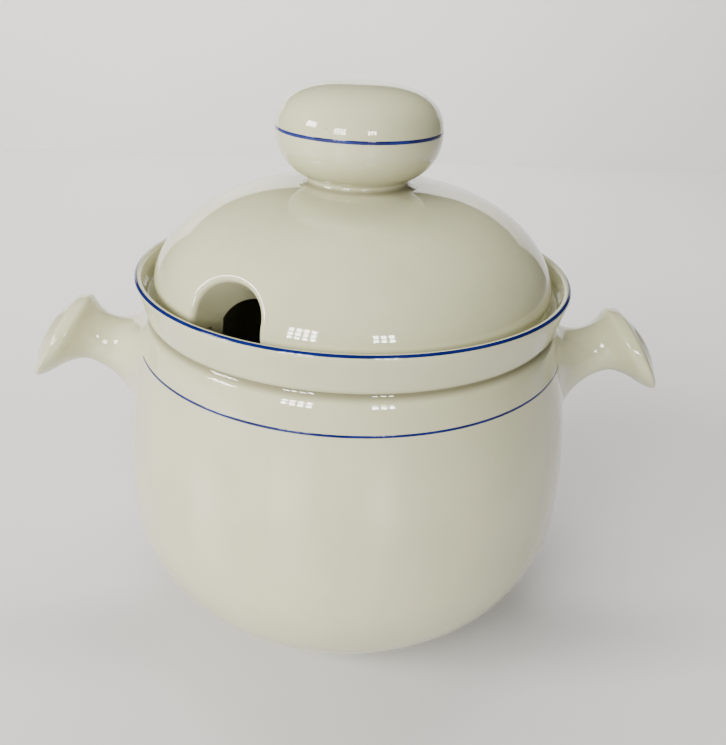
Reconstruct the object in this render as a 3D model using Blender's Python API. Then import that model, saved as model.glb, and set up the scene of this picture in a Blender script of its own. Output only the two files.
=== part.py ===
"""Lidded porcelain soup tureen: a round-bottomed bowl with two horn-shaped handles, and a domed lid
with a ladle notch and a hollow knob.

Units are metres, +Z is up. The origin is the centre of the foot ring's underside. The handles lie
along X, and the ladle notch opens towards the front left.
"""
import math

import bmesh
import bpy
from mathutils import Matrix, Vector

# Bowl
FOOT_RADIUS = 0.0610
FOOT_WIDTH = 0.0045
FOOT_RECESS = 0.0030
BASE_THICKNESS = 0.0055
WALL = 0.0055
BELLY_RADIUS = 0.1022
BELLY_LOW = 0.0570
BELLY_HIGH = 0.0620
BASE_ARC = 0.0550
SIDE_ARC = 0.2750
NECK_HEIGHT = 0.1445
NECK_COVE_BELOW = 0.0020
NECK_COVE_ABOVE = 0.00225
NECK_COVE_DEPTH = 0.0004
RIM_HEIGHT = 0.1622
RIM_FLARE = 0.0045
RIM_WALL = 0.0046
LEDGE_DEPTH = 0.0092
LEDGE_WIDTH = 0.0125
LEDGE_THICKNESS = 0.0035
LEDGE_BRACKET = 0.0120
LIP_ROUNDING = 0.4

# Lid
LID_CLEARANCE = 0.0031
SKIRT_CLEARANCE = 0.0010
SKIRT_THICKNESS = 0.0060
SKIRT_DEPTH = 0.0075
FLANGE_HEIGHT = 0.0050
DOME_RISE = 0.0405
DOME_SIDE_POWER = 2.93
DOME_TOP_POWER = 1.63
LID_WALL = 0.0060
LID_COVE_HEIGHT = 0.0020
LID_COVE_ANGLE = 14

# Ladle notch
NOTCH_AZIMUTH = math.radians(-35.6)
NOTCH_HALF_WIDTH = 0.0153
NOTCH_RISE = 0.0150
NOTCH_ARCH_HEIGHT = 0.0069
NOTCH_SLOPE = math.radians(38)
COLLAR_THICKNESS = 0.0035
NOTCH_CROWN_AT = 0.9
NOTCH_CUT_DEPTH = 0.0300
NOTCH_OVERRUN = 0.0200

# Knob
KNOB_RADIUS = 0.0341
KNOB_RISE = 0.0191
KNOB_DROP = 0.0223
KNOB_CENTRE_HEIGHT = 0.0214
KNOB_TOP_POWER = 2.6
KNOB_BASE_POWER = 2.15
KNOB_NECK_RADIUS = 0.0222
KNOB_FOOT_RADIUS = 0.0238
KNOB_WALL = 0.0050
KNOB_VENT_RADIUS = 0.0110

# Handles
HANDLE_REACH = 0.0300
HANDLE_HEIGHT = 0.1250
HANDLE_TILT = math.radians(30.7)
DISC_RADIUS = 0.0214
DISC_CROWN = 0.0065
DISC_EDGE = 0.0028
DISC_BEAD = 0.0004
WAIST_RADIUS = 0.0116
WAIST_TO_DISC = 0.0165
DISC_FLARE = 0.0088
DISC_FLARE_LENGTH = 0.0125
ROOT_FLARE = 0.0045
ROOT_SPREAD = 0.0085
ROOT_FLARE_LENGTH = 0.0145
ROOT_FLARE_POWER = 1.55
ROOT_LENGTH = 0.0340
STEM_LIFT = 0.0125
STEM_LIFT_LENGTH = 0.0120

# Glaze
GLAZE_COLOUR = (0.78, 0.77, 0.70)
GLAZE_ROUGHNESS = 0.12

# Fits and fineness
GAP = 0.0003
EDGE = 0.0010
COLLAR_OVERLAP = 0.0005
SAME_POINT = 1e-6
SHARP_ANGLE = math.radians(40)
BOWL_STEPS = 48
KNOB_STEPS = 32
HANDLE_STEPS = 24

# Sizes that follow from the ones above
BASE_ARC_RADIUS_AT = BELLY_RADIUS - BASE_ARC
NECK_RADIUS = BELLY_RADIUS - SIDE_ARC + math.sqrt(SIDE_ARC ** 2 - (NECK_HEIGHT - BELLY_HIGH) ** 2)
RIM_RADIUS = NECK_RADIUS + RIM_FLARE
RIM_INNER_RADIUS = RIM_RADIUS - RIM_WALL
LEDGE_HEIGHT = RIM_HEIGHT - LEDGE_DEPTH
LEDGE_INNER_RADIUS = RIM_INNER_RADIUS - LEDGE_WIDTH
FLANGE_RADIUS = RIM_INNER_RADIUS - LID_CLEARANCE
FLANGE_BOTTOM = LEDGE_HEIGHT + GAP
DOME_BASE = FLANGE_BOTTOM + FLANGE_HEIGHT
SKIRT_RADIUS = LEDGE_INNER_RADIUS - SKIRT_CLEARANCE
SKIRT_INNER_RADIUS = SKIRT_RADIUS - SKIRT_THICKNESS
SKIRT_BOTTOM = FLANGE_BOTTOM - SKIRT_DEPTH


def arc(centre, radius, start, end, count):
    """Points on a circle about centre, from one angle in degrees to the other, both included."""
    points = []
    for index in range(count):
        angle = math.radians(start + (end - start) * index / (count - 1))
        points.append((centre[0] + radius * math.cos(angle), centre[1] + radius * math.sin(angle)))
    return points


def oval(centre, reach, rise, side_power, top_power, start, end, count):
    """Points on a squared-off quarter oval; the angle in degrees runs from its side to its top."""
    points = []
    for index in range(count):
        angle = math.radians(start + (end - start) * index / (count - 1))
        across = max(math.cos(angle), 0.0) ** (2 / side_power)
        up = max(math.sin(angle), 0.0) ** (2 / top_power)
        points.append((centre[0] + reach * across, centre[1] + rise * up))
    return points


def make_object(name, bm, material):
    """Turn a finished bmesh into an object with faces outwards and smooth round surfaces."""
    bmesh.ops.remove_doubles(bm, verts=bm.verts, dist=SAME_POINT)
    bmesh.ops.recalc_face_normals(bm, faces=bm.faces)
    mesh = bpy.data.meshes.new(name)
    bm.to_mesh(mesh)
    bm.free()
    mesh.shade_smooth()
    mesh.set_sharp_from_angle(angle=SHARP_ANGLE)
    if material is not None:
        mesh.materials.append(material)
    shape = bpy.data.objects.new(name, mesh)
    bpy.context.scene.collection.objects.link(shape)
    return shape


def turned(name, outline, steps, material):
    """Turn a closed outline of (radius, height) points about +Z; points on the axis become poles."""
    bm = bmesh.new()
    rings = []
    for radius, height in outline:
        if radius < SAME_POINT:
            rings.append([bm.verts.new((0, 0, height))])
            continue
        ring = []
        for step in range(steps):
            angle = 2 * math.pi * step / steps
            ring.append(bm.verts.new((radius * math.cos(angle), radius * math.sin(angle), height)))
        rings.append(ring)
    for index, ring in enumerate(rings):
        following = rings[(index + 1) % len(rings)]
        if len(ring) == 1 and len(following) == 1:
            continue
        for step in range(steps):
            after = (step + 1) % steps
            corners = [ring[step % len(ring)], ring[after % len(ring)]]
            corners += [following[after % len(following)], following[step % len(following)]]
            bm.faces.new(list(dict.fromkeys(corners)))
    return make_object(name, bm, material)


def cutter(shape):
    """Mark a shape that only cuts or joins others."""
    shape.hide_render = True
    shape.display_type = "WIRE"
    return shape


def combine(shape, other, operation):
    """Add an exact Boolean that joins, cuts or keeps what two shapes share."""
    modifier = shape.modifiers.new(operation.lower(), "BOOLEAN")
    modifier.operation = operation
    modifier.solver = "EXACT"
    modifier.object = other


def glaze(name):
    """Glazed porcelain: a smooth, glossy, slightly warm white."""
    material = bpy.data.materials.new(name)
    material.use_nodes = True
    surface = material.node_tree.nodes["Principled BSDF"]
    surface.inputs["Base Color"].default_value = (*GLAZE_COLOUR, 1.0)
    surface.inputs["Roughness"].default_value = GLAZE_ROUGHNESS
    surface.inputs["Metallic"].default_value = 0.0
    return material


def bowl_outside(offset):
    """The bowl's outer outline from its foot to its lip, moved outwards by offset."""
    foot_angle = -math.degrees(math.acos((FOOT_RADIUS + EDGE - BASE_ARC_RADIUS_AT) / BASE_ARC))
    base_centre = (BASE_ARC_RADIUS_AT, BELLY_LOW)
    side_centre = (BELLY_RADIUS - SIDE_ARC, BELLY_HIGH)
    neck_angle = math.degrees(math.asin((NECK_HEIGHT - NECK_COVE_BELOW - BELLY_HIGH) / SIDE_ARC))
    outline = [(FOOT_RADIUS + offset, -offset)]
    outline += arc(base_centre, BASE_ARC + offset, foot_angle, 0, 8)
    outline += arc(side_centre, SIDE_ARC + offset, 0, neck_angle, 7)
    outline.append((NECK_RADIUS + NECK_COVE_DEPTH + offset, NECK_HEIGHT))
    band_slope = RIM_FLARE / (RIM_HEIGHT - NECK_HEIGHT)
    band_radius = NECK_RADIUS + band_slope * NECK_COVE_ABOVE
    outline.append((band_radius + offset, NECK_HEIGHT + NECK_COVE_ABOVE))
    outline.append((RIM_RADIUS + offset, RIM_HEIGHT - RIM_WALL * LIP_ROUNDING))
    return outline


def make_bowl(material):
    """The hollow bowl: foot ring, round base, belly, neck, rim, and the ledge that the lid rests on."""
    lip_centre = (RIM_RADIUS - RIM_WALL / 2, RIM_HEIGHT - RIM_WALL / 2)
    base_centre = (BASE_ARC_RADIUS_AT, BELLY_LOW)
    side_centre = (BELLY_RADIUS - SIDE_ARC, BELLY_HIGH)
    under_ledge = LEDGE_HEIGHT - LEDGE_THICKNESS
    inner_arc = BELLY_LOW - FOOT_RECESS - BASE_THICKNESS
    wall_top = under_ledge - LEDGE_BRACKET
    top_angle = math.degrees(math.asin((wall_top - BELLY_HIGH) / (SIDE_ARC - WALL)))
    inner_base = (BELLY_RADIUS - WALL - inner_arc, BELLY_LOW)
    outline = bowl_outside(0)
    outline += arc(lip_centre, RIM_WALL / 2, 40, 140, 4)
    outline.append((RIM_INNER_RADIUS, RIM_HEIGHT - RIM_WALL * (1 - LIP_ROUNDING)))
    outline.append((RIM_INNER_RADIUS, LEDGE_HEIGHT))
    outline.append((LEDGE_INNER_RADIUS + EDGE, LEDGE_HEIGHT))
    outline.append((LEDGE_INNER_RADIUS, LEDGE_HEIGHT - EDGE))
    outline.append((LEDGE_INNER_RADIUS, under_ledge))
    outline += arc(side_centre, SIDE_ARC - WALL, top_angle, 0, 6)
    outline += arc(inner_base, inner_arc, 0, -90, 7)
    outline.append((0, FOOT_RECESS + BASE_THICKNESS))
    outline.append((0, FOOT_RECESS))
    outline.append((FOOT_RADIUS - FOOT_WIDTH - EDGE, FOOT_RECESS))
    outline.append((FOOT_RADIUS - FOOT_WIDTH, 0))
    return turned("bowl", outline, BOWL_STEPS, material)


def dome_point(radius, inset):
    """Height of the dome's outer (inset 0) or inner surface at a radius."""
    share = min(radius / (FLANGE_RADIUS - inset), 1.0)
    angle = math.acos(share ** (DOME_SIDE_POWER / 2))
    return DOME_BASE + (DOME_RISE - inset) * math.sin(angle) ** (2 / DOME_TOP_POWER)


def dome_side(inset, inner_radius, start, count):
    """The dome's surface from its side in to a radius near its top."""
    reach = FLANGE_RADIUS - inset
    end = math.degrees(math.acos((inner_radius / reach) ** (DOME_SIDE_POWER / 2)))
    rise = DOME_RISE - inset
    return oval((0, DOME_BASE), reach, rise, DOME_SIDE_POWER, DOME_TOP_POWER, start, end, count)


def notch_prism(name, margin, inner_face):
    """An upturned-U bar along the ladle notch, from a vertical inner face out past the lid's edge.

    It slopes down inwards, square to the dome where the notch's crown is."""
    half_width = NOTCH_HALF_WIDTH + margin
    rise = NOTCH_RISE + margin
    outer_face = FLANGE_RADIUS + NOTCH_OVERRUN
    crown_at = FLANGE_RADIUS * NOTCH_CROWN_AT
    floor = SKIRT_BOTTOM - NOTCH_OVERRUN
    bm = bmesh.new()
    ends = []
    for reach in (inner_face, outer_face):
        spring = FLANGE_BOTTOM + NOTCH_ARCH_HEIGHT + (reach - crown_at) * math.tan(NOTCH_SLOPE)
        section = [(half_width, floor)] + arc((0, 0), 1, 0, 180, 13) + [(-half_width, floor)]
        loop = []
        for index, (across, up) in enumerate(section):
            if 0 < index < len(section) - 1:
                across, up = across * half_width, spring + up * rise
            loop.append(bm.verts.new((across, -reach, up)))
        ends.append(loop)
    count = len(ends[0])
    for index in range(count):
        after = (index + 1) % count
        bm.faces.new([ends[0][index], ends[0][after], ends[1][after], ends[1][index]])
    bm.faces.new(ends[0])
    bm.faces.new(list(reversed(ends[1])))
    bm.transform(Matrix.Rotation(NOTCH_AZIMUTH, 4, "Z"))
    return cutter(make_object(name, bm, None))


def make_lid(material):
    """The hollow domed lid with its seat, its locating skirt, and the ladle notch with a thick edge."""
    seat = dome_point(KNOB_FOOT_RADIUS, 0)
    outline = dome_side(0, KNOB_FOOT_RADIUS, 0, 10)
    outline.append((KNOB_VENT_RADIUS, seat))
    outline += list(reversed(dome_side(LID_WALL, KNOB_VENT_RADIUS, LID_COVE_ANGLE, 8)))
    outline.append((SKIRT_INNER_RADIUS, FLANGE_BOTTOM + LID_COVE_HEIGHT))
    outline.append((SKIRT_INNER_RADIUS, SKIRT_BOTTOM + EDGE))
    outline.append((SKIRT_INNER_RADIUS + EDGE, SKIRT_BOTTOM))
    outline.append((SKIRT_RADIUS - EDGE, SKIRT_BOTTOM))
    outline.append((SKIRT_RADIUS, SKIRT_BOTTOM + EDGE))
    outline.append((SKIRT_RADIUS, FLANGE_BOTTOM))
    outline.append((FLANGE_RADIUS - EDGE, FLANGE_BOTTOM))
    outline.append((FLANGE_RADIUS, FLANGE_BOTTOM + EDGE))
    lid = turned("lid", outline, BOWL_STEPS, material)

    core = dome_side(EDGE, 0, 0, 10) + [(0, FLANGE_BOTTOM + EDGE)]
    core.append((FLANGE_RADIUS - EDGE, FLANGE_BOTTOM + EDGE))
    core_shape = cutter(turned("collar_limit", core, BOWL_STEPS, None))
    collar = notch_prism("notch_collar", COLLAR_THICKNESS, SKIRT_INNER_RADIUS - COLLAR_OVERLAP)
    combine(collar, core_shape, "INTERSECT")
    passage = notch_prism("notch_passage", 0, SKIRT_INNER_RADIUS - NOTCH_CUT_DEPTH)
    combine(lid, collar, "UNION")
    combine(lid, passage, "DIFFERENCE")
    return lid


def make_knob(material):
    """The hollow knob: a squashed ball on a short neck, open below into the lid."""
    foot = dome_point(KNOB_FOOT_RADIUS, 0) + GAP
    centre = (0, foot + KNOB_CENTRE_HEIGHT)
    neck_angle = math.degrees(math.acos((KNOB_NECK_RADIUS / KNOB_RADIUS) ** (KNOB_BASE_POWER / 2)))
    power = KNOB_BASE_POWER
    lower = oval(centre, KNOB_RADIUS, -KNOB_DROP, power, power, neck_angle, 0, 6)
    upper = oval(centre, KNOB_RADIUS, KNOB_RISE, KNOB_TOP_POWER, KNOB_TOP_POWER, 0, 90, 9)
    reach = KNOB_RADIUS - KNOB_WALL
    vent_angle = math.degrees(math.acos((KNOB_VENT_RADIUS / reach) ** (power / 2)))
    inner_upper = oval(centre, reach, KNOB_RISE - KNOB_WALL, KNOB_TOP_POWER, KNOB_TOP_POWER, 90, 0, 7)
    inner_lower = oval(centre, reach, KNOB_WALL - KNOB_DROP, power, power, 0, vent_angle, 5)
    outline = [(KNOB_FOOT_RADIUS, foot)]
    outline += lower + upper[1:-1] + [(0, upper[-1][1]), (0, inner_upper[0][1])]
    outline += inner_upper[1:] + inner_lower[1:]
    outline.append((KNOB_VENT_RADIUS, foot))
    return turned("knob", outline, KNOB_STEPS, material)


def horn_loops():
    """Sections of a handle along its own axis: distance from the disc, lift, height and width radii."""
    loops = []
    waist = -WAIST_TO_DISC
    inner_end = waist - ROOT_LENGTH
    for index in range(6):
        along = inner_end + (waist - inner_end) * index / 6
        share = ((waist - along) / ROOT_FLARE_LENGTH) ** ROOT_FLARE_POWER
        loops.append((along, WAIST_RADIUS + ROOT_FLARE * share, WAIST_RADIUS + ROOT_SPREAD * share))
    flare_end = -DISC_EDGE * 1.2
    for index in range(6):
        along = waist + (flare_end - waist) * index / 5
        radius = WAIST_RADIUS + DISC_FLARE * ((along - waist) / DISC_FLARE_LENGTH) ** 2
        radius = min(radius, DISC_RADIUS - DISC_BEAD)
        loops.append((along, radius, radius))
    for along, radius in arc((0, DISC_RADIUS - DISC_EDGE / 2), DISC_EDGE / 2, 90, 20, 3):
        loops.append((along, radius, radius))
    for share in (0.8, 0.5, 0.22):
        radius = DISC_RADIUS * share
        along = DISC_CROWN * (1 - share ** 2)
        loops.append((along, radius, radius))
    return loops


def make_handle(name, side, hull, material):
    """One horn-shaped handle, cut to the bowl's side; side is 1 on the right and -1 on the left."""
    bm = bmesh.new()
    rings = []
    for along, half_height, half_width in horn_loops():
        lift = STEM_LIFT * (1 - math.exp(min(along, 0) / STEM_LIFT_LENGTH))
        ring = []
        for step in range(HANDLE_STEPS):
            angle = 2 * math.pi * step / HANDLE_STEPS
            across = half_width * math.sin(angle)
            up = lift + half_height * math.cos(angle)
            ring.append(bm.verts.new((along, across, up)))
        rings.append(ring)
    for ring, following in zip(rings, rings[1:]):
        for step in range(HANDLE_STEPS):
            after = (step + 1) % HANDLE_STEPS
            bm.faces.new([ring[step], ring[after], following[after], following[step]])
    crown = bm.verts.new((DISC_CROWN, 0, 0))
    for step in range(HANDLE_STEPS):
        bm.faces.new([rings[-1][step], rings[-1][(step + 1) % HANDLE_STEPS], crown])
    bm.faces.new(rings[0])
    bm.transform(Matrix.Rotation(-HANDLE_TILT, 4, "Y"))
    bm.transform(Matrix.Translation(Vector((BELLY_RADIUS + HANDLE_REACH, 0, HANDLE_HEIGHT))))
    if side < 0:
        bm.transform(Matrix.Scale(-1, 4, Vector((1, 0, 0))))
    handle = make_object(name, bm, material)
    combine(handle, hull, "DIFFERENCE")
    return handle


def build():
    for leftover in list(bpy.data.objects):
        bpy.data.objects.remove(leftover, do_unlink=True)
    make_bowl(glaze("bowl_glaze"))
    lid = make_lid(glaze("lid_glaze"))
    knob = make_knob(glaze("knob_glaze"))
    knob.parent = lid
    hull_outline = bowl_outside(GAP) + [(0, RIM_HEIGHT), (0, -GAP)]
    hull = cutter(turned("bowl_hull", hull_outline, BOWL_STEPS, None))
    make_handle("handle_right", 1, hull, glaze("handle_right_glaze"))
    make_handle("handle_left", -1, hull, glaze("handle_left_glaze"))


build()
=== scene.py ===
import math

import bmesh
import bpy
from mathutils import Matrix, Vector


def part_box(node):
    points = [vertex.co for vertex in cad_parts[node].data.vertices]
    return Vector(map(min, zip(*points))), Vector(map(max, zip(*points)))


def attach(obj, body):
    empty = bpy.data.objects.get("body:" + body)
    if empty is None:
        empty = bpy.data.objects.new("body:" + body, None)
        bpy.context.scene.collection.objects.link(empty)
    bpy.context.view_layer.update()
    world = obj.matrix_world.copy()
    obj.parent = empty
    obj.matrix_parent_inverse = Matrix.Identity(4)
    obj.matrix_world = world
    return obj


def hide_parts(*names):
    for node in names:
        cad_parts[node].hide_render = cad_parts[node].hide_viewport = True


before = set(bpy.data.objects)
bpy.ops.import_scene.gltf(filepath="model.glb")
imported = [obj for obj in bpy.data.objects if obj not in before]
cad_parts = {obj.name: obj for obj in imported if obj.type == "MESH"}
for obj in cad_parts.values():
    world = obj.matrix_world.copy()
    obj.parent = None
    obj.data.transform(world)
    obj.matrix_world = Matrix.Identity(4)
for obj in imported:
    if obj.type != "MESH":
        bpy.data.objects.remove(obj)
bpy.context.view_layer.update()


# The viewpoint: someone standing at the table, looking down on the tureen from the front, with the
# ladle notch towards their left. A normal lens, held by hand and so leaning very slightly.
view_lens = 38.658
view_film = 36
eye_place = (-0.01235, -0.33693, 0.27800)
eye_tilt = (1.106464, -0.041497, -0.033745)
lens_data = bpy.data.cameras.new("viewpoint")
lens_data.lens = view_lens
lens_data.sensor_width = view_film
viewpoint = bpy.data.objects.new("viewpoint", lens_data)
viewpoint.location = eye_place
viewpoint.rotation_euler = eye_tilt
bpy.context.scene.collection.objects.link(viewpoint)
bpy.context.scene.camera = viewpoint


# The bowl: porcelain, jiggered on a turning plaster mould with a profile tool, with a foot ring, a
# round belly, a tucked-in neck and a flared rim. A ledge inside the rim carries the lid. It is dipped
# in glaze all over, and the foot ring is wiped bare to stand in the kiln.
belly_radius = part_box("bowl")[1].x
rim_height = 0.1622
foot_radius = 0.0610
foot_width = 0.0045
foot_recess = 0.0030
foot_outer = ((-0.0005, 0), (-0.0001, 0.0002), (0, 0.0008), (0.0001, 0.0022), (0.0005, 0.0032))
foot_inner = ((0, 0.0006), (0.0002, 0.0001), (0.0006, 0))
foot_inner_round = 0.0012
belly_past_foot = 0.0016
floor_thickness = 0.0055
wall = 0.0055
belly_low = 0.0570
belly_high = 0.0620
base_curve = 0.0550
side_curve = 0.2750
neck_height = 0.1445
shoulder_break = 0.1412
rim_flare = 0.0045
rim_wall = 0.0046
rim_lean = ((0.0006, 0.0040), (0.0002, 0.0060))
band_shares = (0, 0.12, 0.25, 0.4, 0.55, 0.7, 0.85)
ledge_depth = 0.0092
ledge_width = 0.0125
ledge_thickness = 0.0035
ledge_corner = 0.0011
ledge_flat = 0.0060
ledge_edge = 0.0010
ledge_under_edge = 0.0008
bracket_length = 0.0120
bracket_pull = 0.0045
neck_radius = belly_radius - side_curve + math.sqrt(side_curve ** 2 - (neck_height - belly_high) ** 2)
rim_radius = neck_radius + rim_flare
rim_inside = rim_radius - rim_wall
lip_round = 0.00155
lip_arc = (-8, 168)
ledge_height = rim_height - ledge_depth
ledge_inside = rim_inside - ledge_width
lip_centre = (rim_radius - lip_round, rim_height - lip_round)
wheel_steps = 256
sharp_edge = math.radians(35)
same_point = 0.000004


def sweep(centre, radius, start, end, count):
    """Points along a circular arc of a profile, from one angle in degrees to another."""
    points = []
    for index in range(count):
        angle = math.radians(start + (end - start) * index / (count - 1))
        points.append((centre[0] + radius * math.cos(angle), centre[1] + radius * math.sin(angle)))
    return points


def ease(start, pull_out, pull_in, end, count):
    """Points along a soft S or hollow between two points, drawn out and in by two pulls."""
    points = []
    for index in range(1, count):
        t = index / count
        s = 1 - t
        weights = (s ** 3, 3 * s * s * t, 3 * s * t * t, t ** 3)
        corners = (start, pull_out, pull_in, end)
        points.append(tuple(sum(w * c[axis] for w, c in zip(weights, corners)) for axis in (0, 1)))
    return points


def jigger(name, profile, steps=wheel_steps):
    """Draw a closed (radius, height) profile and turn it once about the wheel's axis."""
    bpy.ops.object.select_all(action="DESELECT")
    bpy.ops.mesh.primitive_circle_add(vertices=3, radius=0.0005)
    piece = bpy.context.object
    piece.name = name
    bpy.ops.object.mode_set(mode="EDIT")
    bpy.ops.mesh.select_all(action="SELECT")
    bpy.ops.mesh.merge(type="CENTER")
    bpy.ops.transform.translate(value=(profile[0][0], 0, profile[0][1]))
    for here, there in zip(profile, profile[1:] + profile[:1]):
        step = (there[0] - here[0], 0, there[1] - here[1])
        bpy.ops.mesh.extrude_region_move(TRANSFORM_OT_translate={"value": step})
    bpy.ops.mesh.select_all(action="SELECT")
    bpy.ops.mesh.spin(steps=steps, angle=2 * math.pi, center=(0, 0, 0), axis=(0, 0, 1))
    bpy.ops.mesh.select_all(action="SELECT")
    bpy.ops.mesh.remove_doubles(threshold=same_point)
    bpy.ops.mesh.normals_make_consistent(inside=False)
    bpy.ops.object.mode_set(mode="OBJECT")
    bpy.ops.object.shade_smooth_by_angle(angle=sharp_edge)
    return piece


base_centre = (belly_radius - base_curve, belly_low)
side_centre = (belly_radius - side_curve, belly_high)
foot_angle = -math.degrees(math.acos((foot_radius + belly_past_foot - base_centre[0]) / base_curve))
break_angle = math.degrees(math.asin((shoulder_break - belly_high) / side_curve))
bowl_profile = [(foot_radius + out, up) for out, up in foot_outer]
bowl_profile += sweep(base_centre, base_curve, foot_angle, 0, 30)
bowl_profile += [(belly_radius, (belly_low + belly_high) / 2)]
bowl_profile += sweep(side_centre, side_curve, 0, break_angle, 26)
shoulder_end = bowl_profile[-1]
neck_pull = (shoulder_end[0] - 0.0006, shoulder_end[1] + 0.0012)
neck_deep = (neck_radius - 0.00115, neck_height - 0.0001)
bowl_profile += ease(shoulder_end, neck_pull, (neck_deep[0] + 0.0001, neck_deep[1] - 0.0010),
                     neck_deep, 8)
band_start = (neck_radius + 0.0004, neck_height + 0.0013)
bowl_profile += [neck_deep]
bowl_profile += ease(neck_deep, (neck_deep[0] + 0.0001, neck_deep[1] + 0.0005),
                     (band_start[0] - 0.0006, band_start[1] - 0.0007), band_start, 6)
band_end = (rim_radius - 0.00004, lip_centre[1] - 0.0007)
for share in band_shares:
    bowl_profile.append(tuple(a + (b - a) * share for a, b in zip(band_start, band_end)))
bowl_profile += sweep(lip_centre, lip_round, *lip_arc, 25)
bowl_profile += [(rim_inside + out, rim_height - down) for out, down in rim_lean]
bowl_profile += [(rim_inside, ledge_height + 0.0014)]
bowl_profile += sweep((rim_inside - ledge_corner, ledge_height + ledge_corner),
                      ledge_corner, -15, -90, 6)
bowl_profile += [(ledge_inside + ledge_flat, ledge_height)]
bowl_profile += sweep((ledge_inside + ledge_edge, ledge_height - ledge_edge), ledge_edge, 90, 180, 7)
under_ledge = ledge_height - ledge_thickness
bowl_profile += sweep((ledge_inside + ledge_under_edge, under_ledge + ledge_under_edge),
                      ledge_under_edge, 190, 230, 5)
bracket_end = under_ledge - bracket_length
inside_angle = math.degrees(math.asin((bracket_end - belly_high) / (side_curve - wall)))
inside_side = sweep(side_centre, side_curve - wall, inside_angle, 0, 22)
bowl_profile += ease(bowl_profile[-1], (ledge_inside + 0.0055, under_ledge - bracket_pull),
                     (inside_side[0][0] - 0.0006, bracket_end + bracket_pull), inside_side[0], 10)
bowl_profile += inside_side
inside_base = belly_low - foot_recess - floor_thickness
bowl_profile += sweep((belly_radius - wall - inside_base, belly_low), inside_base, 0, -90, 26)
for share in (0.66, 0.33, 0.0):
    bowl_profile.append(((belly_radius - wall - inside_base) * share, foot_recess + floor_thickness))
foot_inside = foot_radius - foot_width
for share in (0.0, 0.35, 0.7):
    bowl_profile.append((foot_inside * share, foot_recess))
bowl_profile += sweep((foot_inside - foot_inner_round, foot_recess - foot_inner_round),
                      foot_inner_round, 90, 20, 6)
bowl_profile += [(foot_inside + out, up) for out, up in foot_inner]
bowl = jigger("bowl_turned", bowl_profile)


class Shade:
    """A value or colour on a material's nodes, with the arithmetic that mixes glazes."""

    def __init__(self, tree, socket):
        self.tree = tree
        self.socket = socket

    def node(self, kind, settings=None, inputs=None, output=0):
        made = self.tree.nodes.new(kind)
        for key, value in (settings or {}).items():
            setattr(made, key, value)
        for key, value in (inputs or {}).items():
            if isinstance(value, Shade):
                self.tree.links.new(value.socket, made.inputs[key])
            else:
                made.inputs[key].default_value = value
        return Shade(self.tree, made.outputs[output])

    def math(self, operation, first, second=0.0):
        return self.node("ShaderNodeMath", {"operation": operation}, {0: first, 1: second})

    def __add__(self, other):
        return self.math("ADD", self, other)

    def __radd__(self, other):
        return self.math("ADD", other, self)

    def __sub__(self, other):
        return self.math("SUBTRACT", self, other)

    def __rsub__(self, other):
        return self.math("SUBTRACT", other, self)

    def __mul__(self, other):
        return self.math("MULTIPLY", self, other)

    def __rmul__(self, other):
        return self.math("MULTIPLY", other, self)

    def ramp(self, low, high):
        """0 below low and 1 above high, with a smooth rise between."""
        return self.node("ShaderNodeMapRange", {"interpolation_type": "SMOOTHSTEP"},
                         {"Value": self, "From Min": low, "From Max": high,
                          "To Min": 0.0, "To Max": 1.0})

    def noise(self, scale, detail=3.0):
        return self.node("ShaderNodeTexNoise", {}, {"Vector": self, "Scale": scale, "Detail": detail})

    def mixed(self, first, second):
        """The first colour where this is 0 and the second where it is 1."""
        mix = self.tree.nodes.new("ShaderNodeMix")
        mix.data_type = "RGBA"
        self.tree.links.new(self.socket, mix.inputs["Factor"])
        for label, colour in (("A", first), ("B", second)):
            socket = next(s for s in mix.inputs if s.name == label and s.type == "RGBA")
            if isinstance(colour, Shade):
                self.tree.links.new(colour.socket, socket)
            else:
                socket.default_value = (*colour, 1.0)
        return Shade(self.tree, next(s for s in mix.outputs if s.type == "RGBA"))


glaze_thin = (0.500, 0.488, 0.310)
glaze_thick = (0.440, 0.436, 0.270)
# The darkest tint below is partly the glaze's own deeper colour where it pools, but mostly painted
# shade for hollows.
pool_tint_and_painted_shade = (0.180, 0.170, 0.095)
glaze_speck = (0.20, 0.17, 0.12)
bare_clay = (0.62, 0.58, 0.50)
glass_ior = 1.52
cloud_scale = 38.0
grain_scale = 420.0
speck_spacing = 95.0
swell_scale = 24.0
peel_scale = 300.0
clay_grit_scale = 1800.0
glaze_gloss = 0.035
glaze_relief = 0.0006
pool_and_shade_strength = 0.95


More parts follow.
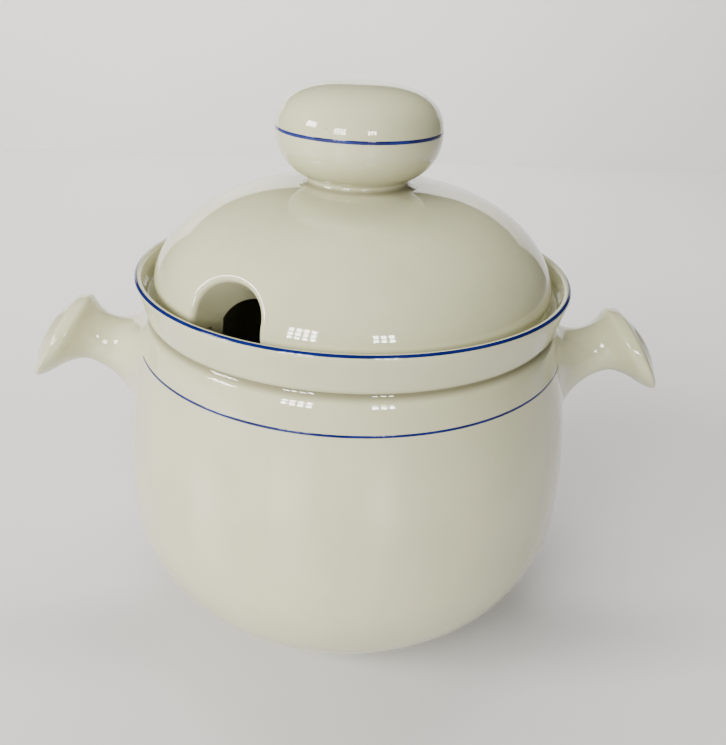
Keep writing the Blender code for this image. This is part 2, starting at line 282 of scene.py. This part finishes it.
def glaze(name, pooled_and_shaded=None, bare_below=None):
    """A clear, faintly grey-green porcelain glaze. The second argument is the (low, high) height of a
    hollow that is painted darker, a little for the glaze's own deeper tint where it pools there and
    mostly as painted shade of the hollow, and bare_below the height under which the clay was wiped
    clean."""
    material = bpy.data.materials.new(name)
    material.use_nodes = True
    tree = material.node_tree
    surface = tree.nodes["Principled BSDF"]
    place = Shade(tree, tree.nodes.new("ShaderNodeTexCoord").outputs["Object"])
    cloud = place.noise(cloud_scale, 4.0).ramp(0.30, 0.70)
    grain = place.noise(grain_scale, 2.0).ramp(0.35, 0.65)
    depth = cloud * 0.55 + grain * 0.12
    height = place.node("ShaderNodeSeparateXYZ", {}, {"Vector": place}, 2)
    colour = depth.mixed(glaze_thin, glaze_thick)
    # Painted shade: the hollow's band is darkened far past a pooled glaze's tint, standing in for the
    # shade that falls in the crease.
    if pooled_and_shaded:
        middle = (pooled_and_shaded[0] + pooled_and_shaded[1]) / 2
        gathered_and_shaded = height.ramp(pooled_and_shaded[0], middle) * (1 - height.ramp(middle, pooled_and_shaded[1]))
        colour = (gathered_and_shaded * pool_and_shade_strength).mixed(colour, pool_tint_and_painted_shade)
    speck_size = place.node("ShaderNodeTexVoronoi", {}, {"Vector": place, "Scale": speck_spacing})
    speck = 1 - speck_size.ramp(0.030, 0.050)
    rare = place.noise(30.0, 1.0).ramp(0.60, 0.66)
    colour = (speck * rare * 0.45).mixed(colour, glaze_speck)
    gloss = glaze_gloss + cloud * 0.02 + grain * 0.01
    relief = place.noise(swell_scale, 2.0) + place.noise(peel_scale, 2.0) * 0.035
    bump = tree.nodes.new("ShaderNodeBump")
    bump.inputs["Strength"].default_value = 0.35
    bump.inputs["Distance"].default_value = glaze_relief
    if bare_below is not None:
        bare = 1 - height.ramp(bare_below * 0.7, bare_below)
        colour = bare.mixed(colour, bare_clay)
        gloss = gloss + bare * 0.65
        relief = relief + bare * (place.noise(clay_grit_scale, 4.0) * 0.35)
    tree.links.new(relief.socket, bump.inputs["Height"])
    tree.links.new(bump.outputs["Normal"], surface.inputs["Normal"])
    tree.links.new(colour.socket, surface.inputs["Base Color"])
    tree.links.new(gloss.socket, surface.inputs["Roughness"])
    surface.inputs["IOR"].default_value = glass_ior
    surface.inputs["Coat Weight"].default_value = 0.35
    surface.inputs["Coat Roughness"].default_value = 0.03
    return material


# Painted shade: the band round the neck crease is darkened, a little for glaze pooled there and mostly
# for the shade in the crease.
bowl_pool_and_shade = (neck_height - 0.0032, neck_height + 0.0024)
bare_foot_height = 0.0006
bowl.data.materials.append(glaze("bowl_glaze_and_painted_shade", bowl_pool_and_shade, bare_foot_height))
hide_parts("bowl")
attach(bowl, "bowl")


# The cobalt lines on the bowl: one round the outside of the lip and a finer one on the shoulder,
# banded by brush as the bowl turned on the wheel, and fired into the glaze so they stand barely proud.
line_rise = 0.00007
line_root = 0.00012
line_edge = 0.00001
lip_line = (26, 80)
shoulder_line_height = 0.1303
shoulder_line_width = 0.0010
cobalt_deep = (0.003, 0.006, 0.075)
cobalt_thin = (0.009, 0.019, 0.160)
rim_line_strength = 0.55
shoulder_line_strength = 0.9
brush_drag_scale = 90.0
brush_fleck_scale = 900.0


def cobalt(name, strength):
    """Underglaze cobalt, a little paler where the brush ran dry."""
    material = bpy.data.materials.new(name)
    material.use_nodes = True
    tree = material.node_tree
    surface = tree.nodes["Principled BSDF"]
    place = Shade(tree, tree.nodes.new("ShaderNodeTexCoord").outputs["Object"])
    drag = place.noise(brush_drag_scale, 4.0).ramp(0.35, 0.75)
    flecks = place.noise(brush_fleck_scale, 2.0).ramp(0.55, 0.75)
    tone = (drag * 0.6 + flecks * 0.25) * strength
    colour = tone.mixed(cobalt_deep, cobalt_thin)
    tree.links.new(colour.socket, surface.inputs["Base Color"])
    gloss = 0.07 + drag * 0.05
    tree.links.new(gloss.socket, surface.inputs["Roughness"])
    surface.inputs["IOR"].default_value = glass_ior
    return material


def painted_line(name, path):
    """A thin closed band of colour along a short (radius, height, out_r, out_z) path."""
    crest = []
    root = []
    for index, (radius, height, out_r, out_z) in enumerate(path):
        across = index / (len(path) - 1) * 2 - 1
        rise = line_rise * (1 - across ** 6) - line_edge
        crest.append((radius + out_r * rise, height + out_z * rise))
        root.append((radius - out_r * line_root, height - out_z * line_root))
    return jigger(name, crest + root[::-1])


lip_path = []
for step in range(11):
    angle = math.radians(lip_line[0] + (lip_line[1] - lip_line[0]) * step / 10)
    out = (math.cos(angle), math.sin(angle))
    lip_path.append((lip_centre[0] + out[0] * lip_round, lip_centre[1] + out[1] * lip_round, *out))
shoulder_path = []
for step in range(9):
    rise = shoulder_line_height - belly_high + shoulder_line_width * (step / 8 - 0.5)
    angle = math.asin(rise / side_curve)
    out = (math.cos(angle), math.sin(angle))
    shoulder_path.append((side_centre[0] + out[0] * side_curve,
                          side_centre[1] + out[1] * side_curve, *out))
for line_name, path, strength in (("rim_line", lip_path, rim_line_strength),
                                  ("shoulder_line", shoulder_path, shoulder_line_strength)):
    line = painted_line(line_name, path)
    line.data.materials.append(cobalt(line_name + "_cobalt", strength))
    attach(line, "bowl")


# The handles: two short horns, cast in a two-part mould, each ending in a domed disc that fingers
# hook under. They are stuck on with slip while leather-hard, and the root is sponged out into the
# shoulder so that it spreads widest just under the neck.
handle_reach = 0.0300
disc_height = 0.1250
handle_tilt = math.radians(30.7)
disc_radius = 0.0214
disc_crown = 0.0065
disc_crown_shares = (0.30, 0.55, 0.80)
disc_edge = ((0.0019, 0.0020), (0.0012, 0.0009), (0.0005, 0.0002), (-0.0003, 0), (-0.0012, 0.0002))
waist_radius = 0.0116
waist_to_disc = 0.0165
disc_flare = 0.0088
disc_flare_length = 0.0125
stem_lift = 0.0125
stem_lift_length = 0.0120
root_height = 0.1177
root_reach = (0.0250, 0.0258, 0.0285, 0.0350, 0.0440, 0.0385, 0.0320, 0.0285, 0.0265, 0.0258, 0.0260,
              0.0268, 0.0276)
root_rings = 11
root_sink = 0.0012
root_feather = 0.00018
root_droop = 0.28
root_back_shares = (0.97, 0.78, 0.5, 0.2)
cage_sides = 24
cage_turn = 360 / cage_sides
handle_softening = 2
handle_sharp_edge = math.radians(50)


def bowl_radius(height):
    """Radius of the bowl's outside at a height, read off its profile."""
    band_end_index = bowl_profile.index(band_start) + len(band_shares) + 1
    outside = bowl_profile[len(foot_outer):band_end_index]
    for lower, upper in zip(outside, outside[1:]):
        if lower[1] <= height <= upper[1]:
            share = (height - lower[1]) / max(upper[1] - lower[1], 1e-9)
            return lower[0] + (upper[0] - lower[0]) * share
    return outside[-1][0]


def stem_point(along, angle, radius):
    """A point on the horn: along is the distance from the disc, angle runs from its top."""
    lift = stem_lift * (1 - math.exp(min(along, 0) / stem_lift_length))
    up = lift + radius * math.cos(angle)
    out = math.cos(handle_tilt) * along - math.sin(handle_tilt) * up
    rise = math.sin(handle_tilt) * along + math.cos(handle_tilt) * up
    return Vector((belly_radius + handle_reach + out, radius * math.sin(angle), disc_height + rise))


def root_point(angle, turn):
    """A point on the root, from the waist (turn 0) to where it dies into the bowl (turn 1)."""
    start = stem_point(-waist_to_disc, angle, waist_radius)
    start_radius = math.hypot(start.x, start.y)
    across = math.atan2(start.y, start.x) * start_radius
    rise = start.z - root_height
    off = start_radius - bowl_radius(start.z)
    place = abs(math.degrees(angle)) / cage_turn
    index = min(int(place), len(root_reach) - 2)
    share = place - index
    reach = root_reach[index] + (root_reach[index + 1] - root_reach[index]) * share
    opening = 1 - math.cos(turn * math.pi / 2)
    drop = math.sin(turn * math.pi / 2)
    droop = -root_droop * off * drop * math.cos(turn * math.pi / 2)
    sideways = across + (reach * math.sin(angle) - across) * opening
    upwards = rise + (reach * math.cos(angle) - rise) * opening + droop
    height = root_height + upwards
    radius = bowl_radius(height) + off * (1 - drop) - root_feather * drop
    turned = sideways / radius
    return Vector((radius * math.cos(turned), radius * math.sin(turned), height))


def root_back(angle, share):
    """A point on the hidden back of the root, just inside the bowl's wall."""
    edge = root_point(angle, 1.0)
    azimuth = math.atan2(edge.y, edge.x) * share
    height = root_height + (edge.z - root_height) * share
    radius = bowl_radius(height) - root_sink
    return Vector((radius * math.cos(azimuth), radius * math.sin(azimuth), height))


def grow_ring(shape):
    """Extrude the open end of a handle, and put each new corner where shape says for its angle."""
    bpy.ops.mesh.extrude_region_move(TRANSFORM_OT_translate={"value": (0, 0, 0)})
    cage = bmesh.from_edit_mesh(bpy.context.object.data)
    ring = [corner for corner in cage.verts if corner.select]
    middle = sum((corner.co for corner in ring), Vector()) / len(ring)
    for corner in ring:
        away = corner.co - middle
        angle = math.atan2(away.y, away.z * math.cos(handle_tilt) - away.x * math.sin(handle_tilt))
        slot = round(math.degrees(angle) / cage_turn) * cage_turn
        corner.co = shape(math.radians(slot))
    bmesh.update_edit_mesh(bpy.context.object.data)


horn = [(disc_crown * (1 - share ** 2), disc_radius * share) for share in disc_crown_shares]
horn += [(along, disc_radius - inwards) for along, inwards in disc_edge]
flare_end = -0.0030
for step in range(8, -1, -1):
    along = -waist_to_disc + (flare_end + waist_to_disc) * step / 8
    radius = waist_radius + disc_flare * ((along + waist_to_disc) / disc_flare_length) ** 2
    horn.append((along, min(radius, disc_radius - 0.0005)))

bpy.ops.object.select_all(action="DESELECT")
bpy.ops.mesh.primitive_circle_add(vertices=cage_sides, radius=horn[0][1], fill_type="NOTHING",
                                  rotation=(0, math.pi / 2 - handle_tilt, 0),
                                  location=stem_point(horn[0][0], 0, 0))
handle_right = bpy.context.object
handle_right.name = "handle_right_cast"
bpy.ops.object.transform_apply(location=True, rotation=True, scale=True)
bpy.ops.object.mode_set(mode="EDIT")
bpy.ops.mesh.select_all(action="SELECT")
for along, radius in horn[1:]:
    grow_ring(lambda angle: stem_point(along, angle, radius))
for step in range(1, root_rings + 1):
    grow_ring(lambda angle: root_point(angle, step / root_rings))
for share in root_back_shares:
    grow_ring(lambda angle: root_back(angle, share))
bpy.ops.mesh.edge_face_add()
bpy.ops.mesh.select_all(action="DESELECT")
bpy.ops.mesh.select_non_manifold(extend=False)
bpy.ops.mesh.edge_face_add()
bpy.ops.mesh.select_all(action="SELECT")
bpy.ops.mesh.normals_make_consistent(inside=False)
bpy.ops.object.mode_set(mode="OBJECT")
softened = handle_right.modifiers.new("softened", "SUBSURF")
softened.levels = handle_softening
softened.render_levels = handle_softening
bpy.ops.object.modifier_apply(modifier="softened")
bpy.ops.object.shade_smooth_by_angle(angle=handle_sharp_edge)
handle_right.data.materials.append(glaze("handle_glaze_finish"))

bpy.ops.object.select_all(action="DESELECT")
handle_right.select_set(True)
bpy.context.view_layer.objects.active = handle_right
bpy.ops.object.duplicate()
handle_left = bpy.context.object
handle_left.name = "handle_left_cast"
handle_left.scale.x = -1
bpy.ops.object.transform_apply(location=False, rotation=False, scale=True)
bpy.ops.object.mode_set(mode="EDIT")
bpy.ops.mesh.select_all(action="SELECT")
bpy.ops.mesh.normals_make_consistent(inside=False)
bpy.ops.object.mode_set(mode="OBJECT")
for handle, node in ((handle_right, "handle_right"), (handle_left, "handle_left")):
    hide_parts(node)
    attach(handle, "bowl")


# The lid: a jiggered dome with a flat seat and a locating skirt, open in the middle under the knob.
# The ladle notch is cut while leather-hard, thickened behind with a turned-in collar, and its outer
# edge is sponged to a full round while the inner edge stays sharp.
knob_low, knob_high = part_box("knob")
lid_gap = 0.0003
lid_play = 0.0031
flange_thickness = 0.0050
flange_edge = 0.0010
flange_bottom = ledge_height + lid_gap
flange_radius = rim_inside - lid_play
dome_base = flange_bottom + flange_thickness
dome_rise = 0.0405
dome_side_power = 2.93
dome_top_power = 1.63
lid_wall = 0.0060
vent_radius = 0.0110
knob_foot = 0.0238
skirt_play = 0.0010
skirt_thickness = 0.0060
skirt_edge = 0.0010
skirt_radius = ledge_inside - skirt_play
skirt_inside = skirt_radius - skirt_thickness
skirt_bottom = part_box("lid")[0].z
lid_wheel_steps = 384
dome_points = 96
notch_azimuth = math.radians(-35.6)
notch_half_width = 0.0153
notch_rise = 0.0165
notch_arch_height = 0.0069
notch_slope = math.radians(38)
notch_crown_at = flange_radius * 0.9
collar_thickness = 0.0035
notch_round = 0.0027
notch_splay = 0.13
notch_leg = 0.0700
notch_slices = 44
notch_sharp_edge = math.radians(32)
collar_lean = math.radians(34)
collar_limit_depth = 0.0012
collar_inwards = 0.0005
collar_above_flange = 0.001
collar_steps = 192
passage_inwards = 0.0300
bar_outwards = 0.0200
hair = 0.00001


def dome_height(radius):
    """Height of the dome's outer surface at a radius."""
    share = min(radius / flange_radius, 1.0)
    angle = math.acos(share ** (dome_side_power / 2))
    return dome_base + dome_rise * math.sin(angle) ** (2 / dome_top_power)


def dome_side(inset, inner_radius, start, count):
    """The dome's side, from its edge in to a radius near its top."""
    reach = flange_radius - inset
    end = math.degrees(math.acos((inner_radius / reach) ** (dome_side_power / 2)))
    points = []
    for index in range(count):
        angle = math.radians(start + (end - start) * index / (count - 1))
        across = reach * max(math.cos(angle), 0.0) ** (2 / dome_side_power)
        up = (dome_rise - inset) * max(math.sin(angle), 0.0) ** (2 / dome_top_power)
        points.append((across, dome_base + up))
    return points


seat_height = dome_height(knob_foot)
lid_profile = [(flange_radius, dome_base - 0.0026), (flange_radius, dome_base - 0.0013)]
lid_profile += dome_side(0, knob_foot, 0, dome_points)
lid_profile += [(knob_foot - 0.006, seat_height), (vent_radius, seat_height)]
lid_profile += list(reversed(dome_side(lid_wall, vent_radius, 14, 40)))
lid_profile += [(skirt_inside + 0.0004, flange_bottom + 0.0024), (skirt_inside, flange_bottom + 0.0006)]
lid_profile += [(skirt_inside, flange_bottom - 0.0030)]
lid_profile += sweep((skirt_inside + skirt_edge, skirt_bottom + skirt_edge), skirt_edge, 180, 270, 6)
lid_profile += sweep((skirt_radius - skirt_edge, skirt_bottom + skirt_edge), skirt_edge, 270, 360, 6)
lid_profile += [(skirt_radius, flange_bottom), (skirt_radius + 0.0050, flange_bottom)]
lid_profile += sweep((flange_radius - flange_edge, flange_bottom + flange_edge),
                     flange_edge, 270, 360, 6)
lid = jigger("lid_turned", lid_profile, lid_wheel_steps)


def notch_bar(name, margin, inner_face, lean=0.0):
    """An upturned-U bar along the notch, sloping down inwards, that cuts or thickens the lid."""
    half_width = notch_half_width + margin
    length = flange_radius + bar_outwards - inner_face
    pull = length / notch_slices
    bpy.ops.object.select_all(action="DESELECT")
    bpy.ops.mesh.primitive_circle_add(vertices=96, radius=half_width, fill_type="NOTHING",
                                      rotation=(math.pi / 2, 0, 0))
    bar = bpy.context.object
    bar.name = name
    bpy.ops.object.transform_apply(location=False, rotation=True, scale=False)
    bpy.ops.object.mode_set(mode="EDIT")
    bar_mesh = bmesh.from_edit_mesh(bar.data)
    for corner in bar_mesh.verts:
        corner.select_set(corner.co.z < -hair)
    bar_mesh.select_flush(True)
    bmesh.update_edit_mesh(bar.data)
    bpy.ops.mesh.delete(type="VERT")
    bpy.ops.mesh.select_all(action="SELECT")
    stretch = (notch_rise + margin) / half_width
    bpy.ops.transform.resize(value=(1, 1, stretch), center_override=(0, 0, 0))
    bar_mesh = bmesh.from_edit_mesh(bar.data)
    for corner in bar_mesh.verts:
        corner.select_set(corner.co.z < hair)
    bar_mesh.select_flush(True)
    bmesh.update_edit_mesh(bar.data)
    bpy.ops.mesh.extrude_vertices_move(TRANSFORM_OT_translate={"value": (0, 0, -notch_leg)})
    splay = 1 + notch_splay * notch_leg / half_width
    bpy.ops.transform.resize(value=(splay, 1, 1), center_override=(0, 0, 0))
    bpy.ops.mesh.select_all(action="SELECT")
    bpy.ops.mesh.edge_face_add()
    for _ in range(notch_slices):
        bpy.ops.mesh.extrude_region_move(
            TRANSFORM_OT_translate={"value": (0, -pull, pull * math.tan(notch_slope))})
    bpy.ops.mesh.select_all(action="SELECT")
    bpy.ops.mesh.normals_make_consistent(inside=False)
    spring = flange_bottom + notch_arch_height + (inner_face - notch_crown_at) * math.tan(notch_slope)
    bpy.ops.transform.translate(value=(0, -inner_face, spring))
    bar_mesh = bmesh.from_edit_mesh(bar.data)
    for corner in bar_mesh.verts:
        if corner.co.y > -inner_face - hair:
            corner.co.y += max(corner.co.z - flange_bottom, 0) * math.tan(lean)
    bmesh.update_edit_mesh(bar.data)
    bpy.ops.object.mode_set(mode="OBJECT")
    bar.rotation_euler.z = notch_azimuth
    bpy.ops.object.transform_apply(location=False, rotation=True, scale=False)
    return bar


def work(piece, tool, operation):
    """Join, cut or keep what a piece shares with a tool."""
    bpy.ops.object.select_all(action="DESELECT")
    piece.select_set(True)
    bpy.context.view_layer.objects.active = piece
    change = piece.modifiers.new("change", "BOOLEAN")
    change.operation = operation
    change.solver = "EXACT"
    change.object = tool
    bpy.ops.object.modifier_apply(modifier="change")
    bpy.data.objects.remove(tool, do_unlink=True)


limit_profile = dome_side(collar_limit_depth, 0, 0, 40)
limit_profile += [(0, flange_bottom + collar_above_flange),
                  (flange_radius - collar_limit_depth, flange_bottom + collar_above_flange)]
core = jigger("collar_limit", limit_profile, collar_steps)
collar = notch_bar("notch_collar", collar_thickness, skirt_inside - collar_inwards, collar_lean)
work(collar, core, "INTERSECT")
work(lid, collar, "UNION")
passage = notch_bar("notch_passage", 0, skirt_inside - passage_inwards)
work(lid, passage, "DIFFERENCE")

notch_out = Vector((math.sin(notch_azimuth), -math.cos(notch_azimuth), 0))
notch_side = Vector((math.cos(notch_azimuth), math.sin(notch_azimuth), 0))


def outside_dome(point):
    """How far a point is outside the dome's skin; negative inside it."""
    radius = math.hypot(point.x, point.y)
    up = max(point.z - dome_base, 0.0) / dome_rise
    share = radius / flange_radius
    fill = share ** dome_side_power + up ** dome_top_power - 1
    steep_r = dome_side_power * share ** (dome_side_power - 1) / flange_radius
    steep_z = dome_top_power * up ** (dome_top_power - 1) / dome_rise
    return fill / math.hypot(steep_r, steep_z)


def inside_notch(point):
    """How far a point is inside the notch's opening; negative in the lid's wall."""
    reach = point.dot(notch_out)
    spring = flange_bottom + notch_arch_height + (reach - notch_crown_at) * math.tan(notch_slope)
    half_width = notch_half_width + notch_splay * max(spring - point.z, 0.0)
    across = point.dot(notch_side) / half_width
    up = max(point.z - spring, 0.0) / notch_rise
    size = math.sqrt(across ** 2 + up ** 2)
    if size < 1e-6:
        return notch_half_width
    steep = math.hypot(across / half_width, up / notch_rise) / size
    return (1 - size) / steep


def past_round(point):
    """How far a point is outside the notch's sponged edge, or None away from it."""
    skin = outside_dome(point) + notch_round
    side = inside_notch(point) + notch_round
    if skin <= 0 or side <= 0:
        return None
    return math.hypot(skin, side) - notch_round


fine_widths = (0.0046, 0.0034)
notch_side_starts = 0.02
tiny = 0.00002
bpy.ops.object.mode_set(mode="EDIT")
for width in fine_widths:
    lid_mesh = bmesh.from_edit_mesh(lid.data)
    for face in lid_mesh.faces:
        centre = face.calc_center_median()
        near = abs(inside_notch(centre)) < width and abs(outside_dome(centre)) < width
        on_side = centre.dot(notch_out) > notch_side_starts and centre.z > flange_bottom - 0.001
        face.select_set(near and on_side)
    bmesh.update_edit_mesh(lid.data)
    bpy.ops.mesh.quads_convert_to_tris()
    bpy.ops.mesh.subdivide(number_cuts=1)
bpy.ops.mesh.select_all(action="SELECT")
bpy.ops.mesh.remove_doubles(threshold=tiny)
bpy.ops.object.mode_set(mode="OBJECT")
for corner in lid.data.vertices:
    if corner.co.dot(notch_out) < notch_side_starts:
        continue
    point = corner.co.copy()
    for turn in range(6):
        excess = past_round(point)
        if excess is None or abs(excess) < 1e-7:
            break
        slope = Vector()
        for axis in range(3):
            nudge = Vector((0, 0, 0))
            nudge[axis] = tiny
            ahead, behind = past_round(point + nudge), past_round(point - nudge)
            if ahead is None or behind is None:
                continue
            slope[axis] = (ahead - behind) / (2 * tiny)
        if slope.length < 0.2 or excess < 0:
            break
        point -= slope * excess / slope.length_squared
    corner.co = point
bpy.ops.object.shade_smooth_by_angle(angle=notch_sharp_edge)
lid.data.materials.append(glaze("lid_glaze_finish"))
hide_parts("lid")
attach(lid, "lid")


# The knob: a hollow squashed ball, cast and then stuck over the lid's vent with slip while damp. The
#  join is sponged to a small hollow. Glaze gathers there, and the colour at the join is painted darker
#  still as painted shade.
knob_radius = 0.0344
knob_rise = 0.0191
knob_drop = 0.0223
knob_top_power = 2.6
knob_base_power = 2.25
knob_neck = 0.0222
knob_wall = 0.0050
knob_centre = knob_high.z - knob_rise
knob_line_height = knob_centre + 0.0014
knob_line_width = 0.0014
knob_line_strength = 1.6
foot_edge = 0.0257


def ball(radius, rise, power, start, end, count):
    """Points round a quarter of the ball's side, from one angle in degrees to another."""
    points = []
    for index in range(count):
        angle = math.radians(start + (end - start) * index / (count - 1))
        across = max(math.cos(angle), 0.0) ** (2 / power)
        up = max(math.sin(angle), 0.0) ** (2 / power)
        points.append((radius * across, knob_centre + rise * up))
    return points


neck_angle = math.degrees(math.acos((knob_neck / knob_radius) ** (knob_base_power / 2)))
lower_side = ball(knob_radius, -knob_drop, knob_base_power, neck_angle, 0, 26)
upper_side = ball(knob_radius, knob_rise, knob_top_power, 0, 90, 40)
foot_height = dome_height(foot_edge) - 0.0001
neck_start = lower_side[0]
knob_profile = [(foot_edge, foot_height)]
knob_profile += ease((foot_edge, foot_height), (foot_edge - 0.0028, foot_height + 0.0004),
                     (neck_start[0] - 0.0014, neck_start[1] - 0.0008), neck_start, 12)
knob_profile += lower_side + upper_side[1:]
hollow = knob_radius - knob_wall
vent_angle = math.degrees(math.acos((vent_radius / hollow) ** (knob_base_power / 2)))
knob_profile += ball(hollow, knob_rise - knob_wall, knob_top_power, 90, 0, 24)
knob_profile += ball(hollow, knob_wall - knob_drop, knob_base_power, 0, vent_angle, 16)[1:]
knob_profile += [(vent_radius, knob_low.z + 0.0002), (vent_radius + 0.0010, knob_low.z)]
knob = jigger("knob_cast", knob_profile)
# Painted shade at the knob's join to the lid, with a little of the glaze's pooled tint.
knob_pool_and_shade = (knob_low.z - 0.001, knob_low.z + 0.0030)
knob.data.materials.append(glaze("knob_glaze_and_painted_shade", knob_pool_and_shade))
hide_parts("knob")
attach(knob, "lid")


# The knob's cobalt line, banded round its widest part just as on the bowl.
knob_path = []
for step in range(9):
    up = (knob_line_height - knob_centre + knob_line_width * (step / 8 - 0.5)) / knob_rise
    across = (1 - abs(up) ** knob_top_power) ** (1 / knob_top_power) if up > 0 else 1.0
    knob_path.append((knob_radius * across, knob_centre + knob_rise * up, 1.0, 0.0))
knob_line = painted_line("knob_line", knob_path)
knob_line.data.materials.append(cobalt("knob_line_cobalt", knob_line_strength))
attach(knob_line, "lid")


# The stand: a plain pale table top and a pale sheet of backing board behind it, in even studio light.
board_distance = 1.0
board_size = (1.7, 0.50)
table_side = 9
table_drop = 0.00002
stage_pale = (0.60, 0.59, 0.575)
stage_paler = (0.66, 0.65, 0.64)
bpy.ops.object.select_all(action="DESELECT")
bpy.ops.mesh.primitive_plane_add(size=table_side, location=(0, 0.6, -table_drop))
table_top = bpy.context.object
table_top.name = "table_top"
bpy.ops.object.select_all(action="DESELECT")
bpy.ops.mesh.primitive_plane_add(size=1, rotation=(math.pi / 2, 0, 0),
                                 location=(0.04, board_distance, board_size[1] / 2))
backing = bpy.context.object
backing.name = "backing_board"
backing.scale = (board_size[0], board_size[1], board_size[1])
stage_paint = bpy.data.materials.new("stage_paint")
stage_paint.use_nodes = True
stage_tree = stage_paint.node_tree
stage_place = Shade(stage_tree, stage_tree.nodes.new("ShaderNodeTexCoord").outputs["Object"])
stage_tone = stage_place.noise(3.0, 3.0).mixed(stage_pale, stage_paler)
stage_tree.links.new(stage_tone.socket, stage_tree.nodes["Principled BSDF"].inputs["Base Color"])
stage_tree.nodes["Principled BSDF"].inputs["Roughness"].default_value = 0.30
for stand in (table_top, backing):
    stand.data.materials.append(stage_paint)

# The room: dim light from all round, and past the board a plain wall that looks brighter than the
# light it gives.
room = bpy.data.worlds.new("room")
room.use_nodes = True
room_light = room.node_tree.nodes["Background"]
room_light.inputs["Color"].default_value = (0.86, 0.87, 0.84, 1)
room_light.inputs["Strength"].default_value = 0.05
room_wall = room.node_tree.nodes.new("ShaderNodeBackground")
room_wall.inputs["Color"].default_value = (0.86, 0.87, 0.86, 1)
room_wall.inputs["Strength"].default_value = 0.60
room_view = room.node_tree.nodes.new("ShaderNodeMixShader")
room_ray = room.node_tree.nodes.new("ShaderNodeLightPath")
room_end = room.node_tree.nodes["World Output"]
room.node_tree.links.new(room_ray.outputs["Is Camera Ray"], room_view.inputs["Fac"])
room.node_tree.links.new(room_light.outputs[0], room_view.inputs[1])
room.node_tree.links.new(room_wall.outputs[0], room_view.inputs[2])
room.node_tree.links.new(room_view.outputs[0], room_end.inputs["Surface"])
bpy.context.scene.world = room


def lamp(name, place, aim, width, height, power, colour=(1, 1, 1), mirrored=True, spread=1.0):
    """A rectangular lamp that faces a point. A mirrored one shows in the glaze, and spread is its
    share of the even light."""
    data = bpy.data.lights.new(name, "AREA")
    data.shape = "RECTANGLE"
    data.size = width
    data.size_y = height
    data.energy = power
    data.color = colour
    data.diffuse_factor = spread
    made = bpy.data.objects.new(name, data)
    made.location = place
    made.rotation_euler = (Vector(aim) - Vector(place)).to_track_quat("-Z", "Y").to_euler()
    made.visible_glossy = mirrored
    bpy.context.scene.collection.objects.link(made)


middle = Vector((0, 0, 0.13))
board_aim = (0, board_distance, 0.20)
lamp("soft_key", (-1.40, -1.35, 1.15), middle, 1.1, 1.1, 58, (1.0, 0.99, 0.96), False)
lamp("soft_top", (-0.4, 0.1, 1.9), middle, 1.5, 1.5, 4, (1.0, 1.0, 0.98), False)
lamp("board_light", (0.0, 0.50, 1.20), board_aim, 1.4, 0.3, 26, (1, 0.99, 0.98), False)

# Three paned windows of the studio, far enough off to show only as small bright panes in the glaze.
window_distance = 2.3
pane_pitch = 4.2
pane_width = 0.105
pane_share = 0.74
pane_power = 3.0
windows = ((-28, 8, 24, 4, 3), (15, 11, 22, 3, 2), (-72, 16, 30, 4, 3))
for azimuth, low, high, columns, rows in windows:
    pane_height = window_distance * math.radians((high - low) / rows) * pane_share
    for column in range(columns):
        for row in range(rows):
            turn = math.radians(azimuth + (column - (columns - 1) / 2) * pane_pitch)
            lift = math.radians(low + (high - low) * (row + 0.5) / rows)
            away = Vector((math.sin(turn) * math.cos(lift), -math.cos(turn) * math.cos(lift),
                           math.sin(lift)))
            pane = "pane_%d_%d_%d" % (azimuth % 360, column, row)
            lamp(pane, middle + away * window_distance, middle, pane_width, pane_height, pane_power,
                 (1, 1, 1), True, 0.0)
